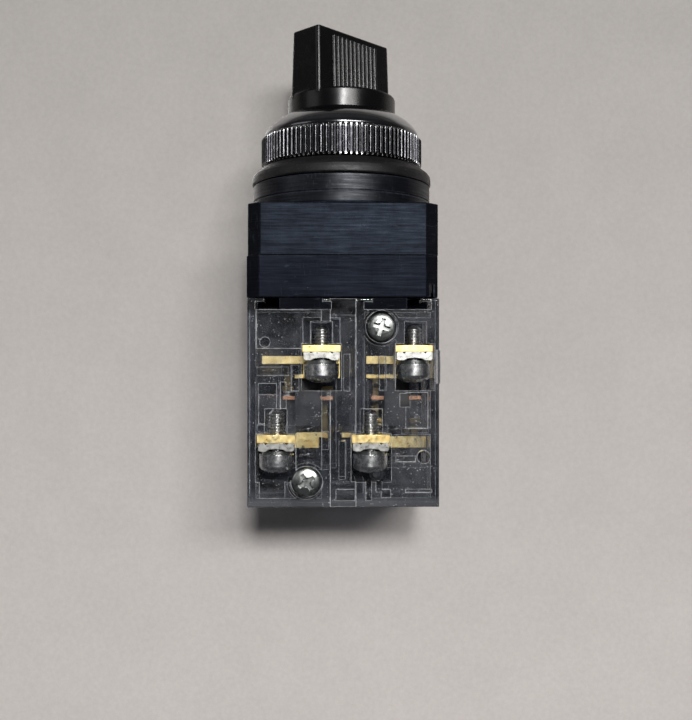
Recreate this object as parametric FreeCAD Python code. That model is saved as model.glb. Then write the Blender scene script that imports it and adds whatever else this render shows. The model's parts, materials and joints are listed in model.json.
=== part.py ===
import FreeCAD, Part
import math
import os

# Panel-mount rotary selector switch, 30 mm panel-hole series, millimetres.
# Origin: on the switch axis at the gasket's front face, where the rear of the panel sits.
# +Z points out of the panel towards the lever, -Z towards the wire terminals.
# The front contact block's terminal face looks towards -Y; the rear block is the same, turned
# half a turn. In the contact block, left is -X, right is +X and upper is +Z.

os.makedirs("parts", exist_ok=True)
Vector = FreeCAD.Vector
X_AXIS, Y_AXIS, Z_AXIS = Vector(1, 0, 0), Vector(0, 1, 0), Vector(0, 0, 1)

# ---------------------------------------------------------------- driving dimensions
LEVER_L, LEVER_W, LEVER_TOP = 23.1, 8.75, 29.9     # bar handle, plan size at mid height
POINTER_ANGLE = math.degrees(math.atan2(0.702, 0.712))
SKIRT_R, SKIRT_TOP, SKIRT_BOT = 12.2, 16.2, 8.6
RIB_COUNT, RIB_PITCH, RIB_R = 11, 1.32, 0.50
SHAFT_R, SHAFT_FLAT = 4.0, 3.0                     # radius, and half width across the flats
SHAFT_FIT = 0.02
KNOB_SCREW_Z = 22.0                                # seat of the knob screw's head
RING_TEETH, RING_R, RING_ROOT, RING_BOT, BAND_TOP = 96, 18.2, 17.55, 0.2, 7.1
NECK_R, NECK_ROOT, NECK_TOP, NECK_PITCH = 14.85, 13.95, 8.0, 1.5
RING_BORE, RING_BORE_MAJOR = 14.92, 15.75
GASKET_BOT, SPACER_BOT, HOUSING_BOT, BASE_BOT = -3.9, -10.15, -21.1, -30.0
SPACER_R, FLANGE_BORE = 20.0, 15.0
BODY_W, BODY_CHAMFER = 40.0, 2.75
STROKE, TRAVEL_DEG = 3.0, 90.0
CAM_PITCH = STROKE * 360.0 / TRAVEL_DEG
DETENT_R = 9.0                                     # circle of the balls and their pockets
DETENT_XY = [(DETENT_R * math.cos(math.radians(a)), DETENT_R * math.sin(math.radians(a)))
             for a in (90.0, 270.0)]
HOUSING_SCREW_XY = [(sx * 16.5, sy * 16.5) for sx in (1, -1) for sy in (1, -1)]
SMALL_SCREW_R = 1.5                                # knob and housing screws

# contact block; "nc" is the normally closed side, "no" the normally open side
BLOCK_W, BLOCK_TOP, BLOCK_BOT, BLOCK_D = 39.9, -30.2, -73.6, 20.0
HALF_W = BLOCK_W / 2.0
SPLIT_Y = -9.9                                     # joint between clear base and clear cover
COLUMN_X = {"nc": -7.6, "no": 11.9}                # plunger axes
PLUNGE_Y = -6.0
TERM_UP = {"nc": -4.55, "no": 15.0}                # upper terminal screw axes in X
TERM_LO = {"nc": -14.05, "no": 5.8}                # lower terminal screw axes in X
TERM_Y = -15.1
PLATE_UP, PLATE_LO = (-41.3, -39.9), (-60.4, -58.7)    # terminal plates, bottom and top
PLATE_W, SHANK_R, HEAD_R = 8.0, 1.75, 3.68         # plate width, terminal screw radii
CLAMP_T, WASHER_T = 1.8, 0.75
TIE_XZ = [(8.0, -36.1), (-7.7, -68.5)]             # cover screws
TIE_SEAT_Y = -17.1
CONTACT_SPAN = 4.3                                 # column axis to each contact of a bridge
BRIDGE_Z = (-51.8, -51.0)
RAIL_FLANGE_X = [(-18.2, -2.6), (4.4, 18.2)]
RAIL_OVERHANG = 1.8                                # flange beyond neck on each side
RAIL_NECK_X = [(x0 + RAIL_OVERHANG, x1 - RAIL_OVERHANG) for x0, x1 in RAIL_FLANGE_X]
LEG_FRONT = [(COLUMN_X["nc"], PLUNGE_Y), (COLUMN_X["no"], PLUNGE_Y)]
LEG_XY = LEG_FRONT + [(-x, -y) for x, y in LEG_FRONT]


# ---------------------------------------------------------------- helpers
def box(x0, x1, y0, y1, z0, z1):
    # X and Y limits may come in either order
    x0, x1 = sorted((x0, x1))
    y0, y1 = sorted((y0, y1))
    return Part.makeBox(x1 - x0, y1 - y0, z1 - z0, Vector(x0, y0, z0))


def cyl_z(radius, z0, z1, x=0.0, y=0.0):
    return Part.makeCylinder(radius, z1 - z0, Vector(x, y, z0), Z_AXIS)


def cyl_y(radius, y0, y1, x, z):
    return Part.makeCylinder(radius, y1 - y0, Vector(x, y0, z), Y_AXIS)


def tube(outer, inner, z0, z1):
    return cut(cyl_z(outer, z0, z1), [cyl_z(inner, z0 - 1, z1 + 1)])


def revolve(points):
    # closed (r, z) polygon turned about Z
    wire = Part.makePolygon([Vector(r, 0, z) for r, z in points + points[:1]])
    return Part.Face(wire).revolve(Vector(0, 0, 0), Z_AXIS, 360)


def prism(points, z0, z1):
    wire = Part.makePolygon([Vector(x, y, z0) for x, y in points + points[:1]])
    return Part.Face(wire).extrude(Vector(0, 0, z1 - z0))


def chamfered_block(width, depth, chamfer, z0, z1, x=0.0):
    h, k, c = width / 2.0, depth / 2.0, chamfer
    outline = [(-h + c, -k), (h - c, -k), (h, -k + c), (h, k - c),
               (h - c, k), (-h + c, k), (-h, k - c), (-h, -k + c)]
    return prism([(px + x, py) for px, py in outline], z0, z1)


def round_block(block, radius, planes):
    # rounds the vertical edges and the edges lying in the given Z planes
    edges = []
    for edge in block.Edges:
        bb = edge.BoundBox
        flat = any(abs(bb.ZMin - p) < 1e-3 and abs(bb.ZMax - p) < 1e-3 for p in planes)
        if bb.ZLength > 1.0 or flat:
            edges.append(edge)
    return block.makeFillet(radius, edges)


def moved(shape, x, y, z):
    result = shape.copy()
    result.translate(Vector(x, y, z))
    return result


def turned(shape, degrees, axis=Z_AXIS, centre=Vector(0, 0, 0)):
    result = shape.copy()
    result.rotate(centre, axis, degrees)
    return result


def fuse(items):
    return items[0].multiFuse(items[1:]).removeSplitter()


def cut(shape, tools):
    return shape.cut(tools[0].multiFuse(tools[1:]) if len(tools) > 1 else tools[0])


def sweep_helix(profile, pitch, height, radius):
    helix = Part.makeHelix(pitch, height, radius)
    return Part.Wire(helix).makePipeShell([profile], True, True)


def coil(x, y, z0, z1, radius, wire_r, turns):
    # radius is to the wire's centre
    height = z1 - z0 - 2 * wire_r
    profile = Part.Wire([Part.makeCircle(wire_r, Vector(radius, 0, 0), Y_AXIS)])
    return moved(sweep_helix(profile, height / turns, height, radius), x, y, z0 + wire_r)


def put(name, shape):
    if shape.ShapeType == "Solid":
        shape = shape.removeSplitter()
    solids = shape.Solids
    result = solids[0] if len(solids) == 1 else Part.makeCompound(solids)
    result.exportStep("parts/%s.step" % name)


def thread_points(crest, root, z0, z1, pitch):
    # (r, z) zigzag from z0 up to z1, in whole turns stretched to fill the length
    count = int((z1 - z0) / pitch)
    step = (z1 - z0) / count
    points = []
    for i in range(count):
        z = z0 + step * i
        points += [(crest, z), (crest, z + step * 0.18), (root, z + step * 0.5),
                   (root, z + step * 0.62), (crest, z + step * 0.98)]
    points.append((crest, z1))
    return points


def double_d(radius, flat, z0, z1):
    slab = box(-flat, flat, -radius - 1, radius + 1, z0 - 1, z1 + 1)
    return cyl_z(radius, z0, z1).common(slab)


def double_d_bore(z0, z1):
    return double_d(SHAFT_R + SHAFT_FIT, SHAFT_FLAT + SHAFT_FIT, z0, z1)


def pan_screw(radius, length, head_r, head_h, dome, thread_from=None):
    # underside of head on z=0, head towards +Z, shank down to -length, cross recess in the head
    pitch, thread_depth = 0.6, 0.336
    profile = [(0, -length), (radius * 0.55, -length), (radius, -length + radius * 0.5)]
    if thread_from is not None:
        profile += thread_points(radius, radius - thread_depth,
                                 -length + radius * 0.5 + 0.02, -thread_from, pitch)
    top = head_h + dome
    profile += [(radius, 0), (head_r, 0), (head_r, head_h * 0.74),
                (head_r * 0.965, head_h * 0.88), (head_r * 0.89, head_h * 0.97),
                (head_r * 0.78, head_h + dome * 0.18), (head_r * 0.5, head_h + dome * 0.72),
                (head_r * 0.25, head_h + dome * 0.94), (0, top)]
    arm, half_slot, depth = head_r * 0.62, head_r * 0.30 / 2, head_h * 0.62
    return cut(revolve(profile), [
        box(-arm, arm, -half_slot, half_slot, top - depth, top + 1),
        box(-half_slot, half_slot, -arm, arm, top - depth, top + 1),
        Part.makeCone(0.2, head_r * 0.34, depth * 0.9, Vector(0, 0, top - depth * 0.9), Z_AXIS)])


# ---------------------------------------------------------------- lever knob
# modelled with its pointer end towards +X, then turned to POINTER_ANGLE
BAR_BOT = SKIRT_TOP - 1.0                          # the bar starts inside the skirt
BAR_BOT_W, BAR_TOP_W = LEVER_W + 0.45, LEVER_W - 0.4
GROOVE_BOT, GROOVE_HALF_W = LEVER_TOP - 0.9, 0.8


def rounded_rectangle(length, width, z, corner_r=0.9):
    h, k = length / 2.0 - corner_r, width / 2.0 - corner_r
    edges = []
    last = Vector(-h, -k - corner_r, z)
    for cx, cy, start in ((h, -k, -90), (h, k, 0), (-h, k, 90), (-h, -k, 180)):
        angles = [math.radians(start + step) for step in (0, 45, 90)]
        arc = [Vector(cx + corner_r * math.cos(a), cy + corner_r * math.sin(a), z)
               for a in angles]
        edges += [Part.makeLine(last, arc[0]), Part.Arc(*arc).toShape()]
        last = arc[2]
    return Part.Wire(edges)


def lever_bar():
    bar = Part.makeLoft([rounded_rectangle(LEVER_L + 0.3, BAR_BOT_W, BAR_BOT),
                         rounded_rectangle(LEVER_L - 0.15, BAR_TOP_W, LEVER_TOP)], True, True)
    top_edges = [e for e in bar.Edges if abs(e.BoundBox.ZMin - LEVER_TOP) < 0.01
                 and abs(e.BoundBox.ZMax - LEVER_TOP) < 0.01]
    # guards the top rounding: the bar stays sharp-edged if the fillet fails
    try:
        bar = bar.makeFillet(0.35, top_edges)
    except Exception:
        pass
    rib_bot, rib_top, sunk = SKIRT_TOP - 0.5, LEVER_TOP - 1.35, 0.12
    rise = (rib_top - BAR_BOT) / (LEVER_TOP - BAR_BOT)
    bot_y = BAR_BOT_W / 2.0
    top_y = bot_y + (BAR_TOP_W / 2.0 - bot_y) * rise
    ribs = []
    for side in (1, -1):
        for i in range(RIB_COUNT):
            x = (i - (RIB_COUNT - 1) / 2.0) * RIB_PITCH
            foot = Vector(x, side * (bot_y - sunk), rib_bot)
            axis = Vector(x, side * (top_y - sunk), rib_top) - foot
            ribs.append(Part.makeCylinder(RIB_R, axis.Length, foot, axis))
    return fuse([bar] + ribs)


def lever_knob():
    bar = lever_bar()
    skirt = revolve([(0, SKIRT_BOT), (SKIRT_R - 0.15, SKIRT_BOT), (SKIRT_R, SKIRT_BOT + 0.4),
                     (SKIRT_R, SKIRT_TOP - 0.5), (SKIRT_R - 0.15, SKIRT_TOP - 0.15),
                     (SKIRT_R - 0.5, SKIRT_TOP), (0, SKIRT_TOP)])
    return cut(fuse([skirt, bar]), [
        tube(10.4, 6.2, SKIRT_BOT - 1, 13.6),      # hollow around the hub
        double_d_bore(SKIRT_BOT - 1, 14.9),
        cyl_z(1.6, 14, 23),                        # screw clearance
        cyl_z(3.0, KNOB_SCREW_Z, 31),              # counterbore under the cap
        box(2.9, 12.0, -GROOVE_HALF_W, GROOVE_HALF_W, GROOVE_BOT, LEVER_TOP + 1)])


def pointer_inlay():
    half_w = GROOVE_HALF_W - 0.01
    return box(3.05, 11.1, -half_w, half_w, GROOVE_BOT, LEVER_TOP - 0.02)


def knob_cap():
    cap = revolve([(0, 28.4), (2.6, 28.4), (2.98, 28.8), (2.98, LEVER_TOP - 0.15),
                   (2.8, LEVER_TOP + 0.02), (0, LEVER_TOP + 0.02)])
    return cut(cap, [box(2.9, 4, -GROOVE_HALF_W, GROOVE_HALF_W, 28.9, 31)])


put("lever_knob", turned(lever_knob(), POINTER_ANGLE))
put("pointer_inlay", turned(pointer_inlay(), POINTER_ANGLE))
put("knob_cap", turned(knob_cap(), POINTER_ANGLE))
put("knob_screw", moved(pan_screw(SMALL_SCREW_R, 12.6, 2.75, 1.9, 0.4), 0, 0, KNOB_SCREW_Z))


# ---------------------------------------------------------------- shaft, seal, circlip
COLLAR_TOP, COLLAR_BOT = -1.05, -2.05


def drive_shaft():
    journal_top = 8.4
    shaft = fuse([turned(double_d(SHAFT_R, SHAFT_FLAT, journal_top, 14.8), POINTER_ANGLE),
                  cyl_z(SHAFT_R, COLLAR_TOP, journal_top),
                  cyl_z(6.0, COLLAR_BOT, COLLAR_TOP),
                  double_d(SHAFT_R, SHAFT_FLAT, -16.2, COLLAR_BOT)])
    return cut(shaft, [cyl_z(SMALL_SCREW_R, 9.3, 16),
                       tube(5, 2.6, 4.5, 5.9),             # seal groove
                       tube(5, 2.75, -15.15, -14.35)])     # circlip groove


def shaft_circlip():
    return cut(cyl_z(5.0, -15.1, -14.4), [cyl_z(2.8, -16, -14), box(-1.6, 1.6, 0, 8, -16, -14)])


put("drive_shaft", drive_shaft())
put("shaft_seal", Part.makeTorus(3.32, 0.68, Vector(0, 0, 5.2), Z_AXIS))
put("shaft_circlip", shaft_circlip())


# ---------------------------------------------------------------- cam rotor and detent
def cam_rotor():
    overrun = 8.0                                  # degrees of ramp past each end of travel
    inner, outer, height = 5.2, 11.3, 4.5          # ramp section
    rotor = fuse([cyl_z(11.5, -5.95, COLLAR_BOT), cyl_z(6.1, -14.3, COLLAR_BOT)])
    section = Part.makePolygon([Vector(inner, 0, 0), Vector(outer, 0, 0),
                                Vector(outer, 0, height), Vector(inner, 0, height),
                                Vector(inner, 0, 0)])
    span = TRAVEL_DEG + 2 * overrun
    ramp = sweep_helix(section, CAM_PITCH, CAM_PITCH * span / 360.0, 9.0)
    ramp_low = -7.0 - CAM_PITCH * (TRAVEL_DEG + overrun) / 360.0
    ramps = [moved(turned(ramp, start - TRAVEL_DEG - overrun), 0, 0, ramp_low)
             for start in (0.0, 180.0)]
    rotor = fuse([rotor] + ramps)
    pockets = []
    for k in range(4):
        a = math.radians(90 * k)
        centre = Vector(DETENT_R * math.cos(a), DETENT_R * math.sin(a), -1.15)
        pockets.append(Part.makeSphere(1.6, centre))
    return cut(rotor, [double_d_bore(-20, 0)] + pockets)


put("cam_rotor", cam_rotor())
put("detent_balls", Part.makeCompound(
    [Part.makeSphere(1.5, Vector(x, y, -0.52)) for x, y in DETENT_XY]))
put("detent_springs", Part.makeCompound(
    [coil(x, y, 1.02, 5.45, radius=1.05, wire_r=0.2, turns=5) for x, y in DETENT_XY]))


# ---------------------------------------------------------------- push plate
def push_plate():
    follower_z, follower_r = -8.12, 1.0
    inner, outer = 7.3, 11.2                       # follower ends along X
    plate = cut(chamfered_block(29.8, 29.8, 6.1, -15.0, -12.6), [cyl_z(6.7, -20, -10)])
    lugs = []
    for side, start in ((1, inner), (-1, -outer)):
        lugs.append(box(side * inner, side * outer, -follower_r, follower_r, -12.8, follower_z))
        lugs.append(Part.makeCylinder(follower_r, outer - inner,
                                      Vector(start, 0, follower_z), X_AXIS))
    legs = [box(x - 1.5, x + 1.5, y - 1.5, y + 1.5, -33.2, -14.0) for x, y in LEG_XY]
    return fuse([plate] + lugs + legs)


put("push_plate", push_plate())

# ---------------------------------------------------------------- ring nut: band and dome
DOME_FOOT = (17.4, 6.4)
# (r, z) outside of the dome, from the band in to the lip
DOME_OUTSIDE = [
    (17.4, 7.05), (17.45, 7.3), (17.25, 8.0), (16.85, 8.75), (16.25, 9.5), (15.5, 10.2),
    (14.6, 10.85), (13.7, 11.4), (13.0, 11.8), (12.7, 11.95), (12.47, 11.75)]
# (r, z) inside of the dome, from the lip back out
DOME_INSIDE = [
    (12.47, 11.0), (13.3, 10.4), (14.2, 9.75), (14.9, 9.1), (15.4, 8.4), (15.8, 7.6),
    (15.8, 6.9), (15.8, 6.4)]


def knurled_band():
    half_tooth = 0.30                              # fraction of the tooth pitch
    pitch = 2 * math.pi / RING_TEETH
    points = []
    for i in range(RING_TEETH):
        for f in (-0.30, -0.27, -0.20, -0.10, 0.0, 0.10, 0.20, 0.27, 0.30, 0.50):
            bulge = math.sqrt(max(0.0, 1.0 - (f / half_tooth) ** 2))
            r = RING_ROOT + (RING_R - RING_ROOT) * bulge
            a = 2 * math.pi * i / RING_TEETH + f * pitch
            points.append((r * math.cos(a), r * math.sin(a)))
    gear = prism(points, RING_BOT, BAND_TOP)
    rim, drop = RING_R - 0.8, 0.7                  # chamfer of the tooth ends
    return gear.common(revolve([(0, RING_BOT), (rim, RING_BOT), (RING_R, RING_BOT + drop),
                                (RING_R, BAND_TOP - drop), (rim, BAND_TOP), (0, BAND_TOP)]))


def ring_dome():
    curve = Part.BSplineCurve()
    curve.interpolate([Vector(r, 0, z) for r, z in DOME_OUTSIDE])
    rest = [Vector(r, 0, z)
            for r, z in [DOME_OUTSIDE[-1]] + DOME_INSIDE + [DOME_FOOT, DOME_OUTSIDE[0]]]
    lines = [Part.makeLine(a, b) for a, b in zip(rest[:-1], rest[1:])]
    face = Part.Face(Part.Wire([curve.toShape()] + lines))
    return face.revolve(Vector(0, 0, 0), Z_AXIS, 360)


def bezel_ring():
    band = knurled_band()
    dome = ring_dome()
    mouth_r, relief_r, bore_top = RING_BORE_MAJOR + 0.3, 15.8, 7.6
    thread = thread_points(RING_BORE_MAJOR, RING_BORE, RING_BOT + 0.5, 6.5, NECK_PITCH)
    bore = revolve([(0, RING_BOT - 1), (mouth_r, RING_BOT - 1), (mouth_r, RING_BOT)] + thread
                   + [(relief_r, 6.6), (relief_r, bore_top), (0, bore_top)])
    return fuse([cut(band, [bore]), dome])


put("bezel_ring", bezel_ring())

# ---------------------------------------------------------------- gasket and spacer
# (r, z) sections
put("panel_gasket", revolve([
    (FLANGE_BORE, 0), (17.9, 0), (18.35, -0.25), (18.9, -0.75), (19.7, -1.35), (20.1, -1.9),
    (20.25, -2.6), (20.25, -3.6), (20.0, GASKET_BOT), (FLANGE_BORE, GASKET_BOT)]))
put("spacer_ring", revolve([
    (FLANGE_BORE, GASKET_BOT), (SPACER_R - 0.5, GASKET_BOT), (SPACER_R, GASKET_BOT - 0.3),
    (SPACER_R, -7.45), (SPACER_R - 0.25, -7.55), (SPACER_R - 0.25, -7.75),
    (SPACER_R + 0.1, -7.85), (SPACER_R + 0.1, SPACER_BOT), (FLANGE_BORE, SPACER_BOT)]))


# ---------------------------------------------------------------- operator housing and base
def operator_housing():
    thread_bot, plain_r = 0.2, NECK_R - 0.05
    neck = ([(0, SPACER_BOT - 0.5), (plain_r, SPACER_BOT - 0.5), (plain_r, thread_bot)]
            + thread_points(NECK_R, NECK_ROOT, thread_bot, NECK_TOP - 0.6, NECK_PITCH)
            + [(NECK_R - 0.6, NECK_TOP), (0, NECK_TOP)])
    body = chamfered_block(BODY_W, BODY_W, BODY_CHAMFER, HOUSING_BOT + 0.02, SPACER_BOT)
    body = round_block(body, 0.35, (SPACER_BOT,))
    housing = fuse([revolve(neck), body])
    cuts = [cyl_z(12.0, -30, -1.0),                            # rotor bore
            chamfered_block(30.0, 30.0, 6.0, -30, -12.5),      # push plate well
            cyl_z(SHAFT_R + 0.05, -5, 12)]
    cuts += [cyl_z(1.56, -3, 5.5, x, y) for x, y in DETENT_XY]
    cuts += [cyl_z(SMALL_SCREW_R, -25, -13.2, x, y) for x, y in HOUSING_SCREW_XY]
    return cut(housing, cuts)


HOUSING_SCREW_SEAT = -27.2


def operator_base():
    # T rails under the base carry the contact blocks
    base = chamfered_block(40.2, BODY_W, BODY_CHAMFER, BASE_BOT, HOUSING_BOT, x=-0.15)
    base = round_block(base, 0.3, (BASE_BOT, HOUSING_BOT))
    rails = []
    for half_turn in (0, 180):
        for flange, neck in zip(RAIL_FLANGE_X, RAIL_NECK_X):
            rail = fuse([box(*neck, -19.4, -0.4, -31.2, BASE_BOT + 0.5),
                         box(*flange, -19.4, -0.4, -32.4, -31.0)])
            rails.append(turned(rail, half_turn))
    base = fuse([base] + rails)
    cuts = [chamfered_block(30.0, 30.0, 6.0, -26.0, -19)]
    # clear the rails away from the four corners
    for sx in (1, -1):
        for sy in (1, -1):
            cuts.append(box(sx * 13.3, sx * 20.5, sy * 13.3, sy * 20.5, -34, BASE_BOT))
    for x, y in LEG_XY:
        cuts.append(box(x - 1.65, x + 1.65, y - 1.65, y + 1.65, -34, -25))
    for x, y in HOUSING_SCREW_XY:
        cuts += [cyl_z(3.0, -34, HOUSING_SCREW_SEAT, x, y), cyl_z(1.6, -34, -19, x, y)]
    return cut(base, cuts)


def housing_screws():
    screw = turned(pan_screw(SMALL_SCREW_R, 13.4, 2.75, 1.9, 0.4), 180, X_AXIS)
    return Part.makeCompound([moved(screw, x, y, HOUSING_SCREW_SEAT)
                              for x, y in HOUSING_SCREW_XY])


put("operator_housing", operator_housing())
put("operator_base", operator_base())
put("housing_screws", housing_screws())

# ---------------------------------------------------------------- contact block: clear parts
OUT_Y = -BLOCK_D - 1.0                             # clear of the cover's front face
THROUGH_Y = SPLIT_Y + 1.0                          # clear of the cover's joint face
TIE_HOLE_R = 1.6


def rail_slots():
    slots = []
    for flange, neck in zip(RAIL_FLANGE_X, RAIL_NECK_X):
        slots.append(box(neck[0] - 0.1, neck[1] + 0.1, OUT_Y, 1, -31.1, -29))
        slots.append(box(flange[0] - 0.1, flange[1] + 0.1, OUT_Y, 1, -32.5, -30.9))
    return slots


def contact_base():
    cuts = rail_slots()
    for x in COLUMN_X.values():
        cuts.append(box(x - 1.6, x + 1.6, PLUNGE_Y - 1.6, PLUNGE_Y + 1.6, -47, -30))
        cuts.append(box(x - 6.3, x + 6.25, SPLIT_Y - 1, -1.5, -66.5, -46.2))
    # slots for the two strips that run to the back of the base
    for x0, x1 in ((6.7, 8.5), (-13.1, -10.8)):
        cuts.append(box(x0, x1, SPLIT_Y - 1, -2.0, -47, -42.7))
    for x, z in TIE_XZ:
        cuts.append(cyl_y(TIE_HOLE_R, OUT_Y, 1, x, z))
        cuts.append(cyl_y(1.5, -3.6, 1, -x, z))
    return cut(box(-HALF_W, HALF_W, SPLIT_Y, -0.1, BLOCK_BOT, BLOCK_TOP), cuts)


# x0, x1, front y, z0, z1: hollows open to the joint face
COVER_HOLLOWS = [
    (-18.25, -4.5, -18.3, -71.9, -33.0),
    (4.4, 18.25, -18.3, -71.9, -33.0),
    (-2.7, 2.5, -18.8, -72.4, -33.6)]
# x0, x1, y0, y1, z0, z1: tabs and steps moulded into the shell
COVER_TABS = [
    (0.1, 1.4, -18.9, -12.5, -49.5, -41.8),
    (-0.9, 0.5, -18.9, -12.5, -67.9, -60.0),
    (-10.9, -9.3, -18.4, -12.5, -49.6, -44.1),
    (7.6, 9.0, -18.4, -12.5, -49.5, -42.2),
    (-18.4, -11.5, -18.4, -13.0, -46.3, -44.5),
    (12.2, 18.4, -18.4, -13.0, -58.6, -57.3)]
# x0, x1, front y, z0, z1: slots for the strips behind the terminal pockets
STRIP_SLOTS = [
    (-17.7, -1.0, -11.5, -44.1, -42.0),
    (-10.5, -1.0, -11.5, -47.2, -46.0),
    (-18.2, -3.0, -11.5, -62.2, -58.4),
    (4.9, 18.9, -11.5, -44.1, -42.0),
    (4.9, 12, -11.5, -47.2, -46.0),
    (-0.4, 18.3, -11.5, -62.2, -58.4),
    (14.7, 17.6, -11.5, -59, -55.7),
    (-0.4, 2.95, -13.0, -59.9, -58.5)]
# Recesses sunk from the front face: x0, x1, floor y, z0, z1
UPPER_RECESSES = [
    (-2.75, 2.6, -19.2, -74, -30),                 # middle channel, full height
    (-18.1, -4.6, -19.5, -40.6, -32.6)]            # upper left panel
NOTCH_SIDE = (-17.35, -16.3, -17.0, -39.8, -38.8)  # opens the upper left round notch sideways
MAIN_RECESSES = [
    (-17.6, -13.9, THROUGH_Y, -50.2, -47.9),       # left window
    (-17.6, -13.9, -19.0, -56.3, -50.2),           # step below it
    (-13.1, -11.9, -19.1, -56.3, -47.6),           # narrow slot beside it
    (13.0, 17.6, -18.9, -57.3, -49.8),             # right pocket
    (11.8, 13.9, THROUGH_Y, -52.8, -50.0),         # window at its left edge
    (-17.4, -12.2, THROUGH_Y, -71.6, -67.6),       # lower left window
    (-1.5, 2.4, THROUGH_Y, -72.3, -70.0),          # lower middle window
    (4.7, 5.8, THROUGH_Y, -72.2, -65.8),           # lower right slots
    (6.8, 8.0, THROUGH_Y, -70.4, -65.8),
    (7.9, 9.8, THROUGH_Y, -71.6, -70.0)]
LOWER_RECESSES = [
    (12.9, 18.4, -19.5, -70.6, -69.9),             # shallow lines at lower right
    (10.9, 15.0, -19.3, -64.2, -63.0)]


def recess(x0, x1, floor_y, z0, z1):
    return box(x0, x1, OUT_Y, floor_y, z0, z1)


def joint_slot(x0, x1, front_y, z0, z1):
    return box(x0, x1, front_y, THROUGH_Y, z0, z1)


def terminal_pockets(kind):
    upper, lower = TERM_UP[kind], TERM_LO[kind]
    half, notch = 4.15, 2.3
    return [recess(upper - half, min(upper + half, 18.95), THROUGH_Y, -49.4, -39.6),
            recess(upper - notch, upper + notch, -12.8, -41, -35.0),
            recess(lower - half, lower + half, THROUGH_Y, -68.4, -58.4),
            cyl_z(1.95, -59, -53.2, lower, TERM_Y),
            recess(lower - notch, lower + notch, -17.5, -59, -53.2)]


def contact_cover():
    # a moulded shell with open terminal pockets
    cover = box(-HALF_W, HALF_W, -BLOCK_D, SPLIT_Y, BLOCK_BOT, BLOCK_TOP)
    cover = cover.makeFillet(0.35, [e for e in cover.Edges
                                    if abs(e.BoundBox.YMax + BLOCK_D) < 1e-3])
    cover = cut(cover, [joint_slot(*row) for row in COVER_HOLLOWS])

    inside = box(-18.9, 18.9, -20, 0, -72.5, -30.5)
    added = [cyl_y(4.0, -19.0, SPLIT_Y, x, z).common(inside) for x, z in TIE_XZ]
    for kind, extra in (("nc", 1.2), ("no", 0.0)):
        upper, lower = TERM_UP[kind], TERM_LO[kind]
        added.append(box(upper - 3.9, upper + 3.9, -18.8, SPLIT_Y, -39.8, -34.2))
        added.append(box(lower - 3.9 - extra, lower + 3.9, -14.5, SPLIT_Y, -58.6, -56.9))
    added += [box(*row) for row in COVER_TABS]
    cover = fuse([cover] + added)

    cuts = rail_slots()
    for x, z in TIE_XZ:
        cuts += [cyl_y(3.4, OUT_Y, TIE_SEAT_Y, x, z), cyl_y(TIE_HOLE_R, OUT_Y, 0, x, z)]
    cuts += terminal_pockets("nc") + terminal_pockets("no")
    cuts += [joint_slot(*row) for row in STRIP_SLOTS]
    cuts += [recess(*row) for row in UPPER_RECESSES]
    cuts += [cyl_y(1.05, OUT_Y, -17.0, -16.3, -39.3), recess(*NOTCH_SIDE)]
    cuts += [recess(*row) for row in MAIN_RECESSES]
    cuts.append(cyl_y(1.35, OUT_Y, -17.2, 16.7, -63.2))
    cuts += [recess(*row) for row in LOWER_RECESSES]
    cover = cut(cover, cuts)
    side_lug = box(HALF_W - 0.2, HALF_W + 0.62, -17.0, -11.0, -48.1, -40.9)
    return fuse([cover, side_lug])


# ---------------------------------------------------------------- contact block: terminals
STRIP_Y = -11.3                                    # front of the strips
STRIP_BACK_Y = SPLIT_Y - 0.02
BAR_T = 1.0                                        # thickness of arm, riser and finger
RISER_BACK_Y = -2.2
FINGER_BOT = {"nc": -49.88, "no": -56.95}
FINGER_TOP = {kind: z + BAR_T for kind, z in FINGER_BOT.items()}


def terminal(kind, x, plate, strips, arm_x, arm_bot, finger_x):
    # screw plate, strips (x0, x1, front y, z0, z1), then an arm back into the base,
    # a riser along Z and a finger that carries the fixed contact
    z0, z1 = plate
    plate_box = box(x - PLATE_W / 2, min(x + PLATE_W / 2, 18.8), -18.4, STRIP_BACK_Y, z0, z1)
    items = [cut(plate_box, [cyl_z(SHANK_R, z0 - 3, z1 + 3, x, TERM_Y)])]
    items += [box(x0, x1, front, STRIP_BACK_Y, low, high) for x0, x1, front, low, high in strips]
    arm_top = arm_bot + BAR_T
    low, high = FINGER_BOT[kind], FINGER_TOP[kind]
    items += [box(*arm_x, STRIP_Y, RISER_BACK_Y, arm_bot, arm_top),
              box(*arm_x, RISER_BACK_Y - BAR_T, RISER_BACK_Y,
                  min(arm_bot, low), max(arm_top, high)),
              box(*finger_x, -7.4, RISER_BACK_Y, low, high)]
    return fuse(items)


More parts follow.
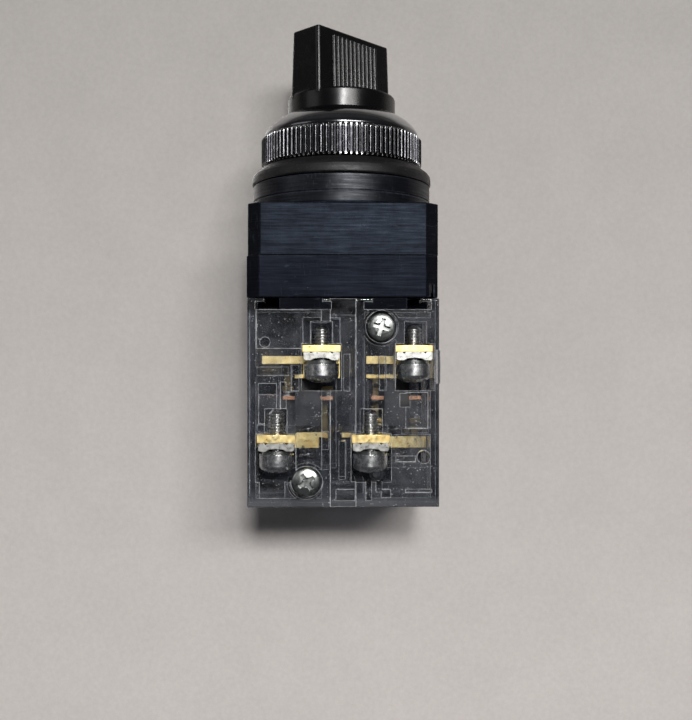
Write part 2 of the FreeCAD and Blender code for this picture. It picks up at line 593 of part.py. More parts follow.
def terminals():
    half = PLATE_W / 2.0
    result = {}
    x = TERM_UP["nc"]
    result["terminal_nc_upper"] = terminal("nc", x, PLATE_UP, [
        (x - half, x + half, STRIP_Y, -47.0, -39.9),
        (-17.4, x, STRIP_Y, -43.9, -42.2),
        (-10.3, x, STRIP_Y, -47.0, -46.2)], (-12.9, -11.0), -43.9, (-13.2, -10.6))
    x = TERM_LO["nc"]
    result["terminal_nc_lower"] = terminal("nc", x, PLATE_LO, [
        (x - half, -5.1, STRIP_Y, -62.0, -58.7),
        (-5.3, -3.2, STRIP_Y, -59.7, -58.7)], (-4.6, -3.2), -59.7, (-4.6, -2.1))
    x = TERM_UP["no"]
    result["terminal_no_upper"] = terminal("no", x, PLATE_UP, [
        (x - half, 18.8, STRIP_Y, -47.0, -39.9),
        (5.1, x, STRIP_Y, -43.9, -42.2),
        (5.1, x, STRIP_Y, -47.0, -46.2)], (6.9, 8.3), -43.9, (6.4, 8.8))
    x = TERM_LO["no"]
    result["terminal_no_lower"] = terminal("no", x, PLATE_LO, [
        (x - half, 18.1, STRIP_Y, -62.0, -59.6),
        (x - half, x + half, STRIP_Y, -62.0, -58.7),
        (-0.2, x - 3, -12.8, -59.7, -58.7)], (15.4, 17.0), -60.9, (14.95, 17.4))
    return result


# (r, height) contact buttons, domed face up
FIXED_BUTTON = [(0, 0), (1.15, 0), (1.15, 0.35), (0.95, 0.55), (0, 0.6)]
TIP_BUTTON = [(0, 0), (1.1, 0), (1.1, 0.25), (0.9, 0.42), (0, 0.48)]


def button_pair(profile, kind, z, face_up):
    button = revolve(profile)
    if not face_up:
        button = turned(button, 180, X_AXIS)
    return [moved(button, COLUMN_X[kind] + side * CONTACT_SPAN, PLUNGE_Y, z)
            for side in (-1, 1)]


def saddle_clamp(x, top):
    # V serrations on top, hollow underneath, ends turned down
    w, t = 7.6 / 2, CLAMP_T
    section = [(-w, -0.25), (-w + 0.3, 0), (-2.6, 0), (-2.2, -0.38), (-1.8, 0), (1.8, 0),
               (2.2, -0.38), (2.6, 0), (w - 0.3, 0), (w, -0.25), (w, -t + 0.25), (w - 0.5, -t),
               (2.2, -t), (1.5, -t + 0.4), (0, -t + 0.55), (-1.5, -t + 0.4), (-2.2, -t),
               (-w + 0.5, -t), (-w, -t + 0.25)]
    wire = Part.makePolygon([Vector(a, 0, b) for a, b in section + section[:1]])
    depth = 6.2
    clamp = moved(Part.Face(wire).extrude(Vector(0, depth, 0)), x, TERM_Y - depth / 2, top)
    return cut(clamp, [cyl_z(SHANK_R + 0.1, top - 5, top + 5, x, TERM_Y)])


def lock_washer(x, top):
    washer = cut(cyl_z(3.1, top - WASHER_T, top, x, TERM_Y),
                 [cyl_z(SHANK_R + 0.05, top - 3, top + 3, x, TERM_Y)])
    gap = box(x - 0.25, x + 0.25, TERM_Y - 4, TERM_Y, top - 2, top + 1)
    return cut(washer, [turned(gap, 18, Y_AXIS, Vector(x, TERM_Y, top - 0.4))])


def terminal_screw(x, plate, tip, spin):
    seat = plate[0] - CLAMP_T - WASHER_T
    length = tip - seat
    screw = pan_screw(SHANK_R, length, HEAD_R, 3.3, 0.75,
                      thread_from=length - (tip - plate[1]) + 0.1)
    return moved(turned(turned(screw, 180, X_AXIS), spin), x, TERM_Y, seat)


def tie_screw(x, z, spin):
    screw = turned(pan_screw(1.48, 20.3, 3.0, 1.65, 0.4), 90, X_AXIS)    # head towards -Y
    return moved(turned(screw, spin, Y_AXIS), x, TIE_SEAT_Y, z)


def hardware():
    # x, plate, screw tip z
    stations = [(term[kind], plate, tip)
                for term, plate, tip in ((TERM_UP, PLATE_UP, -35.7), (TERM_LO, PLATE_LO, -53.6))
                for kind in ("nc", "no")]
    groups = {
        "fixed_contacts": button_pair(FIXED_BUTTON, "nc", FINGER_BOT["nc"], face_up=False)
        + button_pair(FIXED_BUTTON, "no", FINGER_TOP["no"], face_up=True),
        "saddle_clamps": [saddle_clamp(x, plate[0]) for x, plate, tip in stations],
        "lock_washers": [lock_washer(x, plate[0] - CLAMP_T) for x, plate, tip in stations],
        "terminal_screws": [terminal_screw(*row, 23 + 31 * i) for i, row in enumerate(stations)],
        "tie_screws": [tie_screw(x, z, 17 + 40 * i) for i, (x, z) in enumerate(TIE_XZ)]}
    return {name: Part.makeCompound(items) for name, items in groups.items()}


# ---------------------------------------------------------------- contact block: moving parts
def moving_parts(kind):
    x, y = COLUMN_X[kind], PLUNGE_Y
    closed = kind == "nc"
    low, high = BRIDGE_Z
    # carrier window; the contact spring sits under the nc bridge and above the no bridge
    window = (-54.7, high + 0.03) if closed else (low - 0.03, -48.1)
    spring = (window[0] + 0.02, low - 0.02) if closed else (high + 0.02, window[1] - 0.02)
    carrier_bot = -57.5
    stem = box(x - 1.5, x + 1.5, y - 1.5, y + 1.5, -47, -33.25)
    carrier = cut(box(x - 2.75, x + 2.75, y - 3.0, y + 3.0, carrier_bot, -46.5),
                  [box(x - 4, x + 4, y - 2.05, y + 2.05, *window)])
    spigot = cyl_z(1.2, -60.3, carrier_bot, x, y)
    bridge = box(x - 5.5, x + 5.5, y - 1.8, y + 1.8, low, high)
    tips = button_pair(TIP_BUTTON, kind, high if closed else low, face_up=closed)
    return {
        kind + "_plunger": fuse([stem, carrier, spigot]),
        kind + "_bridge": cut(bridge, [cyl_z(0.5, -53, -50, x, y)]),
        kind + "_tips": Part.makeCompound(tips),
        kind + "_contact_spring": coil(x, y, *spring, radius=1.3, wire_r=0.2, turns=3),
        kind + "_return_spring": coil(x, y, -66.45, -57.55, radius=1.75, wire_r=0.25, turns=6)}


block = {"contact_base": contact_base(), "contact_cover": contact_cover()}
for group in (terminals(), hardware(), moving_parts("nc"), moving_parts("no")):
    block.update(group)
for name, shape in block.items():
    put("front_" + name, shape)
    put("rear_" + name, turned(shape, 180))
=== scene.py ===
# A panel switch: knob and chrome ring at the top (+Z), black housing and clear blocks with
# metal contacts below. Its front faces -Y, towards the camera, +X is to the camera's right,
# and a sheet of paper lies behind it, just past its +Y side. Units are metres.
import bpy, bmesh, json, math
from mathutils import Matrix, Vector


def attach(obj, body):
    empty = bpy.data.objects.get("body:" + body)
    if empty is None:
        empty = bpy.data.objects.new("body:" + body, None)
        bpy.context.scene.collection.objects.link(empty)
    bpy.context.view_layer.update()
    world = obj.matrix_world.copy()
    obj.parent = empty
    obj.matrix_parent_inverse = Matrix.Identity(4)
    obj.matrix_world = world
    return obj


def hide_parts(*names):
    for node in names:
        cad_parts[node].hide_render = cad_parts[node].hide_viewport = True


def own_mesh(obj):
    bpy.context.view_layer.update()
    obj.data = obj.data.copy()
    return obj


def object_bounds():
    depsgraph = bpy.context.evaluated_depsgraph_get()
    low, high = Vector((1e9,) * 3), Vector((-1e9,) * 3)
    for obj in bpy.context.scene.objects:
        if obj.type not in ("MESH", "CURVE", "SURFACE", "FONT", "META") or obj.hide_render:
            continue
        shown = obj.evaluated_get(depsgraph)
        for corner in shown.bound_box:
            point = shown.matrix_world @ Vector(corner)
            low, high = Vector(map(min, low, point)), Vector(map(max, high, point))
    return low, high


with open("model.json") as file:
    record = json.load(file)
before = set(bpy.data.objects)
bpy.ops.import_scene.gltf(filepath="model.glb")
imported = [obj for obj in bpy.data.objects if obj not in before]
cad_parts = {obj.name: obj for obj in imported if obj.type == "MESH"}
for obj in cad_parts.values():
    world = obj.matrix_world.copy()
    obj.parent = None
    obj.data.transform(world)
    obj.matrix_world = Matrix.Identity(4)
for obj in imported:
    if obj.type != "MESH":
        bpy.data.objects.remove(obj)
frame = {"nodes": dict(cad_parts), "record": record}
CAD_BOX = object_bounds()
NODES = frame["nodes"]

PAPER_HALF_SIDE = 1.2
PAPER_GAP = 0.00005       # between the product's back and the paper
LIGHT_TARGET = Vector((0, 0, -0.02))
CAMERA_YAW = math.radians(-1.5)
CAMERA_DISTANCE = 0.2171
CAMERA_ASIDE = 0.00126    # sideways offset, in the camera's own frame
CAMERA_HEIGHT = -0.0424

# ------------------------------------------------------------------ render settings
scene = bpy.context.scene
scene.view_settings.view_transform = "Standard"
scene.view_settings.look = "None"
scene.view_settings.exposure = 0.0
scene.view_settings.gamma = 1.0
scene.cycles.max_bounces = 18
scene.cycles.transmission_bounces = 16
scene.cycles.transparent_max_bounces = 24
scene.cycles.glossy_bounces = 6
scene.cycles.diffuse_bounces = 4
scene.cycles.sample_clamp_indirect = 4.0
scene.cycles.caustics_reflective = False
scene.cycles.caustics_refractive = False


# ------------------------------------------------------------------ shader helpers
def srgb(*channels):
    """Linear colour from sRGB channels, 0 to 255."""
    def linear(value):
        value /= 255.0
        return value / 12.92 if value <= 0.04045 else ((value + 0.055) / 1.055) ** 2.4
    return tuple(linear(channel) for channel in channels)


def rgba(value):
    """Opaque colour from a grey level or an RGB tuple."""
    return (*value, 1.0) if isinstance(value, tuple) else (value, value, value, 1.0)


class Graph:
    """The node tree of a material or world. Inputs take a number, a colour or a socket."""

    def __init__(self, owner, output="ShaderNodeOutputMaterial"):
        owner.use_nodes = True
        self.owner = owner
        self.tree = owner.node_tree
        self.tree.nodes.clear()
        self.output = self.tree.nodes.new(output)
        self.coordinates = None

    def node(self, kind, inputs=None, **settings):
        node = self.tree.nodes.new(kind)
        for key, value in settings.items():
            setattr(node, key, value)
        for key, value in (inputs or {}).items():
            if value is None:
                continue
            socket = node.inputs[key]
            if isinstance(value, bpy.types.NodeSocket):
                self.tree.links.new(value, socket)
            else:
                socket.default_value = rgba(value) if socket.type == "RGBA" else value
        return node

    def place(self):
        """Object coordinates, from one shared node."""
        if self.coordinates is None:
            self.coordinates = self.node("ShaderNodeTexCoord")
        return self.coordinates.outputs["Object"]

    def mapped(self, scale, rotation=(0, 0, 0), location=(0, 0, 0)):
        return self.node("ShaderNodeMapping", {
            "Scale": scale, "Rotation": rotation, "Location": location,
            "Vector": self.place()}).outputs["Vector"]

    def split(self, vector):
        return tuple(self.node("ShaderNodeSeparateXYZ", {0: vector}).outputs)

    def noise(self, scale, detail, rough, vector=None, distortion=0.0):
        return self.node("ShaderNodeTexNoise", {
            "Scale": scale, "Detail": detail, "Roughness": rough, "Distortion": distortion,
            "Vector": vector or self.place()}).outputs["Fac"]

    def ramp(self, source, stops, interpolation="LINEAR"):
        """Stops are (position, grey or colour), in rising order."""
        node = self.node("ShaderNodeValToRGB", {"Fac": source})
        node.color_ramp.interpolation = interpolation
        elements = node.color_ramp.elements
        elements.remove(elements[-1])
        elements[0].position = stops[0][0]
        for position, _ in stops[1:]:
            elements.new(position)
        for element, (_, value) in zip(elements, stops):
            element.color = rgba(value)
        return node.outputs["Color"]

    def fade(self, source, start, end, low=0.0, high=1.0):
        """Runs from low, where the source is at start, to high, where it is at end."""
        return self.ramp(source, [(start, low), (end, high)])

    def patches(self, start, end, low=0.0, high=1.0, **noise):
        return self.fade(self.noise(**noise), start, end, low, high)

    def math(self, operation, first, second=None, clamp=False):
        return self.node("ShaderNodeMath", {0: first, 1: second},
                         operation=operation, use_clamp=clamp).outputs[0]

    def times(self, value, amount):
        return self.math("MULTIPLY", value, amount)

    def plus(self, value, extra, clamp=True):
        return self.math("ADD", value, extra, clamp)

    def centred(self, coordinate, scale):
        """Ramp position 0.5 at coordinate zero."""
        return self.plus(self.times(coordinate, scale), 0.5, clamp=False)

    def beyond(self, value, limit):
        """1 where the size of a signed value is over the limit."""
        return self.math("GREATER_THAN", self.math("ABSOLUTE", value), limit)

    def mix(self, amount, first, second, blend="MIX"):
        return self.node("ShaderNodeMix", {0: amount, 6: first, 7: second},
                         data_type="RGBA", blend_type=blend).outputs[2]

    def mix_shader(self, amount, first, second):
        return self.node("ShaderNodeMixShader", {0: amount, 1: first, 2: second}).outputs[0]

    def bump(self, height, strength, distance, normal=None):
        return self.node("ShaderNodeBump", {
            "Strength": strength, "Distance": distance, "Height": height,
            "Normal": normal}).outputs["Normal"]

    def bevel(self, radius, samples=4):
        return self.node("ShaderNodeBevel", {"Radius": radius},
                         samples=samples).outputs["Normal"]

    def edge(self, radius, gain, samples=4):
        """0 on flats, up to 1 at edges."""
        rounded = self.bevel(radius, samples)
        flat = self.node("ShaderNodeNewGeometry").outputs["Normal"]
        dot = self.node("ShaderNodeVectorMath", {0: rounded, 1: flat}, operation="DOT_PRODUCT")
        turn = self.math("SUBTRACT", 1.0, dot.outputs["Value"])
        return self.math("MULTIPLY", turn, gain, clamp=True)

    def crevices(self, distance, samples, start, end):
        """1 in tight corners, 0 in the open."""
        node = self.node("ShaderNodeAmbientOcclusion", {"Distance": distance}, samples=samples)
        return self.fade(node.outputs["AO"], start, end, low=1.0, high=0.0)

    def bsdf(self, color, rough, normal=None, metallic=0.0, ior=1.5, transmission=0.0,
             specular=0.5, tint=None):
        return self.node("ShaderNodeBsdfPrincipled", {
            "Base Color": color, "Roughness": rough, "Metallic": metallic, "IOR": ior,
            "Specular IOR Level": specular, "Specular Tint": tint, "Coat Roughness": 0.1,
            "Transmission Weight": transmission, "Normal": normal}).outputs[0]

    def finish(self, shader):
        self.tree.links.new(shader, self.output.inputs["Surface"])
        return self.owner


def new_material(name):
    return Graph(bpy.data.materials.new(name))


# Stretched noise for each direction of scratch: scale, rotation (the seed adds to the last)
SCRATCH_DIRECTIONS = (
    ((9000, 260, 260), (0.3, 0.2, 0.5)),
    ((300, 300, 9000), (0.5, 0.4, 1.1)),
    ((240, 7000, 700), (0.1, 1.1, 2.0)),
)


def scratches(m, threshold, seed=0.0):
    """Thin straight marks in three directions, 0..1; a higher threshold leaves fewer."""
    marks = []
    for scale, (turn_x, turn_y, turn_z) in SCRATCH_DIRECTIONS:
        stretched = m.mapped(scale, (turn_x, turn_y, turn_z + seed))
        marks.append(m.patches(scale=1.0, detail=2, rough=0.6, vector=stretched,
                               start=threshold - 0.01, end=threshold + 0.05))
    areas = m.patches(scale=160, detail=3, rough=0.6, start=0.42, end=0.62)
    both = m.math("MAXIMUM", marks[0], marks[1])
    return m.times(m.math("MAXIMUM", both, marks[2]), areas)


def scattered_specks(m, scale=1400, size=0.10, threshold=0.62):
    """Small separate specks, 0..1."""
    cells = m.node("ShaderNodeTexVoronoi", {"Scale": scale, "Vector": m.place()})
    spots = m.fade(cells.outputs["Distance"], start=size * 0.6, end=size, low=1.0, high=0.0)
    areas = m.patches(scale=420, detail=2, rough=0.7, start=threshold, end=threshold + 0.06)
    return m.times(spots, areas)


# ------------------------------------------------------------------ plastics and rubber
# Bands of painted sheen on the black body, bottom up: lower z of the band, specular level,
# specular tint (a painted reflection colour)
BODY_SHEEN_BANDS = (
    (-0.05, 0.03, (0.5, 0.6, 0.8)),         # rails inside the clear blocks
    (-0.0301, 0.095, (0.58, 0.70, 1.0)),    # base
    (-0.0211, 0.145, (0.58, 0.73, 1.0)),    # lower housing
    (-0.01015, 0.44, (0.88, 0.92, 1.0)),    # upper housing
)
BAND_SCALE = 10.0    # ramp positions per metre of z


def rubbed_finish_and_painted_sheen(m, rough):
    """Specular, tint and roughness of the body: painted sheen and reflection tint that change
    by height, and rub marks.
    """
    height = m.centred(m.split(m.place())[2], BAND_SCALE)
    levels = [(z * BAND_SCALE + 0.5, level) for z, level, _ in BODY_SHEEN_BANDS]
    tints = [(z * BAND_SCALE + 0.5, tint) for z, _, tint in BODY_SHEEN_BANDS]
    # painted sheen: specular level and reflection tint step by height
    specular = m.times(m.ramp(height, levels, "CONSTANT"), amount=1.0)
    tint = m.ramp(height, tints, "CONSTANT")
    # long faint rub marks across the faces
    rubs = m.patches(scale=1.0, detail=4, rough=0.7, start=0.40, end=0.70,
                     vector=m.mapped((110, 110, 2600), (0.0, 0.02, 0.0)))
    cloud = m.patches(scale=55, detail=5, rough=0.65, start=0.30, end=0.72, low=0.45, high=1.35)
    gloss = m.plus(m.times(rubs, amount=0.75), extra=0.72, clamp=False)
    specular = m.times(m.times(gloss, cloud), specular)
    rough = m.math("SUBTRACT", rough, m.times(rubs, amount=0.10), clamp=True)
    return specular, tint, rough


def moulded_plastic(name, base, worn, rough, scratch_threshold, dust_amount, edge_amount,
                    scratch_amount=0.5, grain=0.25, specular=0.5, rubbed_with_sheen_bands=False):
    m = new_material(name)
    blotches = m.patches(scale=70, detail=4, rough=0.6, start=0.35, end=0.7)
    color = m.mix(blotches, base, tuple(channel * 1.5 for channel in base))
    marks = scratches(m, scratch_threshold)
    specks = scattered_specks(m)
    edges = m.edge(radius=0.00035, gain=5.0)
    edges = m.times(edges, m.patches(scale=900, detail=3, rough=0.7,
                                     start=0.35, end=0.65, low=0.2))
    color = m.mix(m.times(marks, scratch_amount), color, worn)
    color = m.mix(m.times(edges, edge_amount), color, worn)
    color = m.mix(m.times(specks, dust_amount), color, (0.22, 0.22, 0.23))
    film = m.patches(scale=240, detail=5, rough=0.65, start=0.4, end=0.8)
    filmed = m.node("ShaderNodeMapRange", {
        "To Min": rough[0], "To Max": rough[1], "Value": film}).outputs["Result"]
    roughness = m.plus(filmed, m.times(marks, amount=0.15))
    tint = None
    # rub marks, with painted sheen and reflection tint by height
    if rubbed_with_sheen_bands:
        specular, tint, roughness = rubbed_finish_and_painted_sheen(m, roughness)
    normal = m.bump(m.noise(scale=9000, detail=3, rough=0.6), strength=grain,
                    distance=0.00003, normal=m.bevel(0.00022))
    normal = m.bump(marks, strength=0.35, distance=0.00002, normal=normal)
    return m.finish(m.bsdf(color, roughness, normal, specular=specular, tint=tint))


def rubber(name):
    m = new_material(name)
    color = m.mix(m.patches(scale=300, detail=4, rough=0.6, start=0.3, end=0.7),
                  (0.0050, 0.0048, 0.0055), (0.012, 0.0115, 0.013))
    specks = scattered_specks(m, scale=2200, size=0.16, threshold=0.5)
    color = m.mix(m.times(specks, amount=0.5), color, (0.28, 0.27, 0.26))
    normal = m.bump(m.noise(scale=5200, detail=4, rough=0.7), strength=0.35,
                    distance=0.00006, normal=m.bevel(0.0003))
    roughness = m.patches(scale=700, detail=3, rough=0.6, start=0.3, end=0.7,
                          low=0.38, high=0.58)
    return m.finish(m.bsdf(color, roughness, normal, ior=1.52, specular=0.40))


def light_filter(m):
    """Colour of the light let through the clear blocks, by place and face."""
    geometry = m.node("ShaderNodeNewGeometry").outputs
    x, y, z = m.split(geometry["Position"])
    # darker towards the back, from y = 0 to 6 mm
    back = m.fade(m.centred(y, scale=10.0), start=0.50, end=0.56)
    color = m.mix(back, (0.74, 0.75, 0.77), (0.20, 0.205, 0.215))
    normal_x, _, normal_z = m.split(geometry["True Normal"])
    sides = m.times(m.beyond(x, limit=0.0188), m.beyond(normal_x, limit=0.6))
    color = m.mix(sides, color, (0.26, 0.265, 0.28))
    bottom = m.times(m.math("LESS_THAN", z, -0.0729), m.beyond(normal_z, limit=0.6))
    # the bottom face lightens to the right, from x = -10 to 17.5 mm
    right = m.fade(m.centred(x, scale=20.0), start=0.30, end=0.85)
    return m.mix(bottom, color, m.mix(right, (0.008, 0.008, 0.008), (0.16, 0.16, 0.17)))


def clear_plastic(name):
    m = new_material(name)
    film = m.noise(scale=260, detail=5, rough=0.65)
    color = m.mix(m.fade(film, start=0.4, end=0.75), (0.80, 0.81, 0.84), (0.66, 0.68, 0.72))
    marks = scratches(m, threshold=0.70, seed=0.3)
    roughness = m.fade(film, start=0.35, end=0.75, low=0.02, high=0.09)
    roughness = m.plus(roughness, m.times(marks, amount=0.25))
    normal = m.bump(m.noise(scale=1500, detail=3, rough=0.6), strength=0.10, distance=0.00003)
    glass = m.bsdf(color, roughness, normal, ior=1.45, transmission=1.0)
    # handling marks on the faces, and painted highlights: a pale line along each moulded
    # corner, and pale specks
    haze = m.bsdf((0.092, 0.096, 0.108), rough=0.5, specular=0.3)
    painted_edge_highlight = m.bsdf((0.80, 0.81, 0.82), rough=0.35)
    edges = m.edge(radius=0.00022, gain=4.5, samples=6)
    edges = m.times(edges, m.patches(scale=420, detail=4, rough=0.7,
                                     start=0.34, end=0.60, low=0.25))
    # painted glints: small pale specks join the edge highlight
    specks = scattered_specks(m, scale=1700, size=0.20, threshold=0.53)
    edges = m.plus(edges, m.times(specks, amount=0.6))
    # hazier at the bottom, from z = -71.5 to -72.2 mm
    depth = m.times(m.split(m.place())[2], amount=-10.0)
    bottom = m.fade(depth, start=0.715, end=0.722, high=0.55)
    rubs = m.patches(scale=95, detail=5, rough=0.7, distortion=0.6,
                     start=0.46, end=0.66, high=0.34)
    film_haze = m.fade(film, start=0.40, end=0.85, low=0.02, high=0.16)
    haze_amount = m.plus(m.plus(film_haze, m.times(marks, amount=0.35), clamp=False),
                         m.plus(rubs, bottom, clamp=False))
    surface = m.mix_shader(haze_amount, glass, haze)
    surface = m.mix_shader(edges, surface, painted_edge_highlight)
    # light reaches the metal parts inside
    rays = m.node("ShaderNodeLightPath").outputs
    passing = m.math("MAXIMUM", rays["Is Shadow Ray"], rays["Is Diffuse Ray"])
    through = m.node("ShaderNodeBsdfTransparent", {"Color": light_filter(m)}).outputs[0]
    return m.finish(m.mix_shader(passing, surface, through))


# ------------------------------------------------------------------ metals
def chrome(name):
    m = new_material(name)
    # painted shade: darker in the crevices, by ambient occlusion; the same mask adds roughness
    # there
    crevice_grime_and_shade = m.crevices(distance=0.0011, samples=8, start=0.45, end=0.92)
    tone = m.mix(m.patches(scale=500, detail=4, rough=0.65, start=0.35, end=0.7),
                 (0.40, 0.41, 0.43), (0.52, 0.53, 0.54))
    color = m.mix(m.times(crevice_grime_and_shade, amount=0.95), tone, (0.020, 0.018, 0.017))
    # painted shade on the knurled band and, less, on the foot of the dome, by height; the
    # positions are z in centimetres
    centimetres = m.times(m.split(m.place())[2], amount=100.0)
    zone = m.ramp(centimetres, [(0.055, 0.25), (0.10, 1.0), (0.60, 1.0),
                                (0.655, 0.62), (0.775, 0.62), (0.82, 0.0)])
    knurl_shade = m.times(zone, m.patches(scale=800, detail=3, rough=0.6,
                                    start=0.3, end=0.7, low=0.86))
    color = m.mix(m.times(knurl_shade, amount=0.975), color, (0.013, 0.013, 0.016))
    marks = scratches(m, threshold=0.72, seed=0.7)
    roughness = m.patches(scale=350, detail=5, rough=0.7, start=0.35, end=0.75,
                          low=0.05, high=0.13)
    roughness = m.plus(roughness, m.times(crevice_grime_and_shade, amount=0.25))
    roughness = m.plus(roughness, m.times(marks, amount=0.15))
    roughness = m.math("MAXIMUM", roughness, m.times(knurl_shade, amount=0.30))
    normal = m.bump(m.noise(scale=2600, detail=3, rough=0.6), strength=0.10,
                    distance=0.00004, normal=m.bevel(0.00012))
    return m.finish(m.bsdf(color, roughness, normal, metallic=1.0))


def metal(name, dark, light, rough, tarnish_and_shade, tarnish_and_shade_amount, grain=0.2, grain_scale=4000,
          shaded_inside=False):
    m = new_material(name)
    color = m.mix(m.patches(scale=650, detail=4, rough=0.65, start=0.35, end=0.65), dark, light)
    # tarnish colour in the crevices, part tarnish in the hollows and part painted shade, and in
    # stained spots
    crevice_grime_and_shade = m.crevices(distance=0.0008, samples=6, start=0.25, end=0.75)
    spots = m.patches(scale=1500, detail=5, rough=0.7, start=0.56, end=0.70)
    stain_and_crevice_shade = m.math("MAXIMUM", crevice_grime_and_shade, m.times(spots, amount=0.2))
    color = m.mix(m.times(stain_and_crevice_shade, tarnish_and_shade_amount), color, tarnish_and_shade)
    if shaded_inside:
        # painted shade where y is within 8 mm of the middle, none from 9.8 mm out
        outward = m.times(m.math("ABSOLUTE", m.split(m.place())[1]), amount=50.0)
        inside = m.fade(outward, start=0.40, end=0.49, low=1.0, high=0.0)
        color = m.mix(m.times(inside, amount=0.86), color, (0.035, 0.028, 0.020))
    roughness = m.patches(scale=1200, detail=4, rough=0.6, start=0.3, end=0.7,
                          low=rough[0], high=rough[1])
    normal = m.bump(m.noise(scale=grain_scale, detail=3, rough=0.6), strength=grain,
                    distance=0.00004, normal=m.bevel(0.00015))
    return m.finish(m.bsdf(color, roughness, normal, metallic=1.0))


# ------------------------------------------------------------------ materials on the parts
# Material name: its function and settings; rough is the (lowest, highest) roughness
LOOKS = {
    "knob_black": (moulded_plastic, dict(
        base=(0.0022, 0.0022, 0.0027), worn=(0.05, 0.05, 0.055), rough=(0.24, 0.34),
        scratch_threshold=0.76, grain=0.05, dust_amount=0.15, edge_amount=0.10, specular=0.40)),
    "body_black": (moulded_plastic, dict(
        base=(0.0030, 0.0034, 0.0056), worn=(0.13, 0.15, 0.20), rough=(0.40, 0.52),
        scratch_threshold=0.66, grain=0.12, dust_amount=0.6, edge_amount=0.45,
        scratch_amount=0.28, rubbed_with_sheen_bands=True)),
    "inner_plastic": (moulded_plastic, dict(
        base=(0.006, 0.006, 0.007), worn=(0.05, 0.05, 0.055), rough=(0.38, 0.5),
        scratch_threshold=0.74, dust_amount=0.2, edge_amount=0.2)),
    "inlay_white": (moulded_plastic, dict(
        base=(0.42, 0.42, 0.41), worn=(0.3, 0.3, 0.29), rough=(0.35, 0.5),
        scratch_threshold=0.72, dust_amount=0.1, edge_amount=0.2)),
    "rubber_black": (rubber, {}),
    "chrome_ring": (chrome, {}),
    "clear_plastic": (clear_plastic, {}),
    "brass_strip": (metal, dict(
        dark=(0.80, 0.57, 0.20), light=(0.96, 0.81, 0.42), rough=(0.24, 0.50),
        tarnish_and_shade=(0.34, 0.18, 0.05), tarnish_and_shade_amount=0.45, grain=0.30, grain_scale=1500,
        shaded_inside=True)),
    "copper_bridge": (metal, dict(
        dark=(0.70, 0.34, 0.18), light=(0.80, 0.45, 0.26), rough=(0.24, 0.40),
        tarnish_and_shade=(0.16, 0.06, 0.03), tarnish_and_shade_amount=0.45)),
    "silver_tip": (metal, dict(
        dark=(0.78, 0.77, 0.74), light=(0.88, 0.87, 0.85), rough=(0.25, 0.4),
        tarnish_and_shade=(0.2, 0.18, 0.15), tarnish_and_shade_amount=0.3)),
    "zinc_clamp": (metal, dict(
        dark=(0.50, 0.495, 0.47), light=(0.66, 0.655, 0.62), rough=(0.24, 0.40),
        tarnish_and_shade=(0.40, 0.37, 0.28), tarnish_and_shade_amount=0.2, grain=0.10)),
    "zinc_steel": (metal, dict(
        dark=(0.30, 0.32, 0.31), light=(0.52, 0.54, 0.52), rough=(0.24, 0.40),
        tarnish_and_shade=(0.12, 0.11, 0.10), tarnish_and_shade_amount=0.4, grain=0.10)),
    "thread_steel": (metal, dict(
        dark=(0.74, 0.75, 0.75), light=(0.92, 0.93, 0.92), rough=(0.20, 0.34),
        tarnish_and_shade=(0.08, 0.075, 0.07), tarnish_and_shade_amount=0.75, grain=0.10)),
    "spring_steel": (metal, dict(
        dark=(0.5, 0.5, 0.5), light=(0.6, 0.6, 0.6), rough=(0.22, 0.35),
        tarnish_and_shade=(0.1, 0.09, 0.08), tarnish_and_shade_amount=0.3)),
}
MATERIALS = {name: make(name, **look) for name, (make, look) in LOOKS.items()}

for part in frame["record"]["subparts"]:
    node = part["node"]
    threaded = "terminal" in node and "screw" in node
    slots = NODES[node].data.materials
    slots.clear()
    slots.append(MATERIALS["thread_steel" if threaded else part["material_slot"]])


# ------------------------------------------------------------------ return springs
def return_spring(contact):
    """A still copy of the coil in spring steel, fixed to the housing, in place of the CAD
    spring.
    """
    node = contact + "_return_spring"
    coil = bpy.data.objects.new(node + "_coil", NODES[node].data.copy())
    scene.collection.objects.link(coil)
    coil.data.materials.clear()
    coil.data.materials.append(MATERIALS["spring_steel"])
    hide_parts(node)
    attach(coil, "housing")
    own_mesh(coil)


for side in ("front", "rear"):
    for kind in ("nc", "no"):
        return_spring(side + "_" + kind)


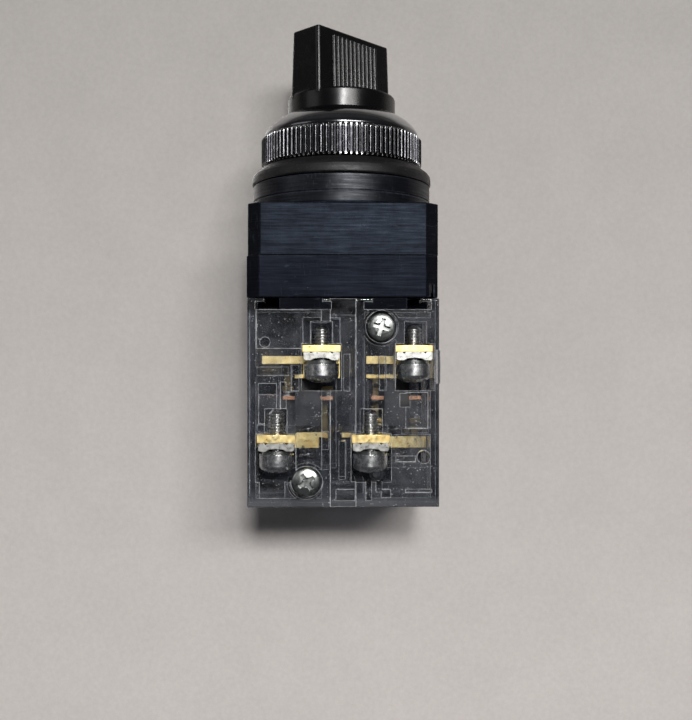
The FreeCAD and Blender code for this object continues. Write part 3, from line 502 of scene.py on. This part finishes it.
# ------------------------------------------------------------------ paper behind the product
def paper():
    m = new_material("paper")
    _, _, z = m.split(m.node("ShaderNodeTexCoord").outputs["Object"])
    # painted light: lighter towards the bottom, at z = -125 mm, and darker towards the top, at
    # z = 45 mm
    height = m.node("ShaderNodeMapRange", {"From Min": -0.125, "From Max": 0.045, "Value": z})
    color = m.mix(height.outputs["Result"], srgb(221, 215, 211), srgb(186, 182, 178))
    fibres = m.patches(scale=900, detail=5, rough=0.7, start=0.3, end=0.7, low=0.93, high=1.03)
    clouds = m.patches(scale=60, detail=4, rough=0.6, start=0.3, end=0.7, low=0.97, high=1.02)
    color = m.mix(1.0, color, fibres, "MULTIPLY")
    color = m.mix(1.0, color, clouds, "MULTIPLY")
    normal = m.bump(m.noise(scale=2500, detail=4, rough=0.7), strength=0.3, distance=0.00008)
    # reflections see the paper darken with distance from z = -25 mm, from 73 to 167 mm out
    rays = m.node("ShaderNodeLightPath").outputs
    offset = m.mapped(scale=(1.0, 0.0, 1.0), location=(0.0, 0.0, 0.025))
    distance = m.node("ShaderNodeVectorMath", {0: offset}, operation="LENGTH").outputs["Value"]
    near = m.fade(m.times(distance, amount=3.0), start=0.22, end=0.50, low=1.0, high=0.16)
    color = m.mix(rays["Is Glossy Ray"], color, m.mix(1.0, color, near, "MULTIPLY"))
    surface = m.bsdf(color, rough=0.9, normal=normal, specular=0.2)
    # clear from behind and to shadow rays, so the light at the back shines through
    back = m.node("ShaderNodeNewGeometry").outputs["Backfacing"]
    clear = m.node("ShaderNodeBsdfTransparent").outputs[0]
    hidden = m.math("MAXIMUM", back, rays["Is Shadow Ray"])
    return m.finish(m.mix_shader(hidden, surface, clear))


def floor_sheet(y):
    mesh = bpy.data.meshes.new("floor_sheet")
    sheet = bmesh.new()
    corners = ((-1, -1), (1, -1), (1, 1), (-1, 1))
    sheet.faces.new([sheet.verts.new((x * PAPER_HALF_SIDE, y, z * PAPER_HALF_SIDE))
                     for x, z in corners])
    sheet.to_mesh(mesh)
    sheet.free()
    floor = bpy.data.objects.new("floor_sheet", mesh)
    scene.collection.objects.link(floor)
    mesh.materials.append(paper())


# the fixed place serves when the bounds come as some other type
known_type = isinstance(CAD_BOX[1], (list, tuple, Vector))
floor_sheet(CAD_BOX[1][1] + PAPER_GAP if known_type else 0.0204)


# ------------------------------------------------------------------ world, lights and camera
def studio_world():
    world = bpy.data.worlds.new("studio")
    scene.world = world
    g = Graph(world, "ShaderNodeOutputWorld")
    _, y, _ = g.split(g.node("ShaderNodeTexCoord").outputs["Generated"])
    depth = g.node("ShaderNodeMapRange", {"From Min": -1.0, "From Max": 1.0, "Value": y})
    color = g.ramp(depth.outputs["Result"], [
        (0.0, (0.050, 0.055, 0.070)), (0.35, (0.075, 0.075, 0.080)), (1.0, (0.10, 0.10, 0.10))])
    dim = g.node("ShaderNodeBackground", {"Color": color, "Strength": 0.55})
    # seen directly, the surroundings are a pale grey like the paper
    pale = g.node("ShaderNodeBackground", {"Color": (0.42, 0.405, 0.39), "Strength": 1.0})
    direct = g.node("ShaderNodeLightPath").outputs["Is Camera Ray"]
    g.finish(g.mix_shader(direct, dim.outputs[0], pale.outputs[0]))


studio_world()

# Rectangular lights: name, place, width, height, power in watts, colour
LIGHTS = (
    ("key", (0.05, -1.00, 0.29), 0.14, 0.14, 5.3, (1.0, 0.99, 0.98)),
    ("soft_right", (0.29, -0.97, 0.27), 0.42, 0.16, 4.6, (1.0, 0.985, 0.965)),
    ("fill_left", (-0.88, -0.42, 0.30), 0.50, 0.50, 0.55, (1.0, 0.99, 0.98)),
    ("back_soft", (-0.30, 0.95, 0.32), 0.45, 0.30, 7.5, (1.0, 0.99, 0.98)),
)
for name, place, width, height, power, color in LIGHTS:
    light = bpy.data.lights.new(name, "AREA")
    light.energy = power
    light.color = color
    light.shape = "RECTANGLE"
    light.size = width
    light.size_y = height
    lamp = bpy.data.objects.new(name, light)
    scene.collection.objects.link(lamp)
    lamp.location = place
    lamp.rotation_euler = (LIGHT_TARGET - Vector(place)).to_track_quat("-Z", "Y").to_euler()

lens = bpy.data.cameras.new("camera")
lens.lens = 47.5
lens.sensor_width = 36.0
lens.shift_x = -0.0013889
lens.shift_y = -0.0041667
lens.clip_start = 0.01
lens.clip_end = 10.0
camera = bpy.data.objects.new("camera", lens)
scene.collection.objects.link(camera)
yaw_cos, yaw_sin = math.cos(CAMERA_YAW), math.sin(CAMERA_YAW)
camera.location = (CAMERA_ASIDE * yaw_cos + CAMERA_DISTANCE * yaw_sin,
                   CAMERA_ASIDE * yaw_sin - CAMERA_DISTANCE * yaw_cos, CAMERA_HEIGHT)
camera.rotation_euler = (math.radians(90), 0, CAMERA_YAW)
scene.camera = camera
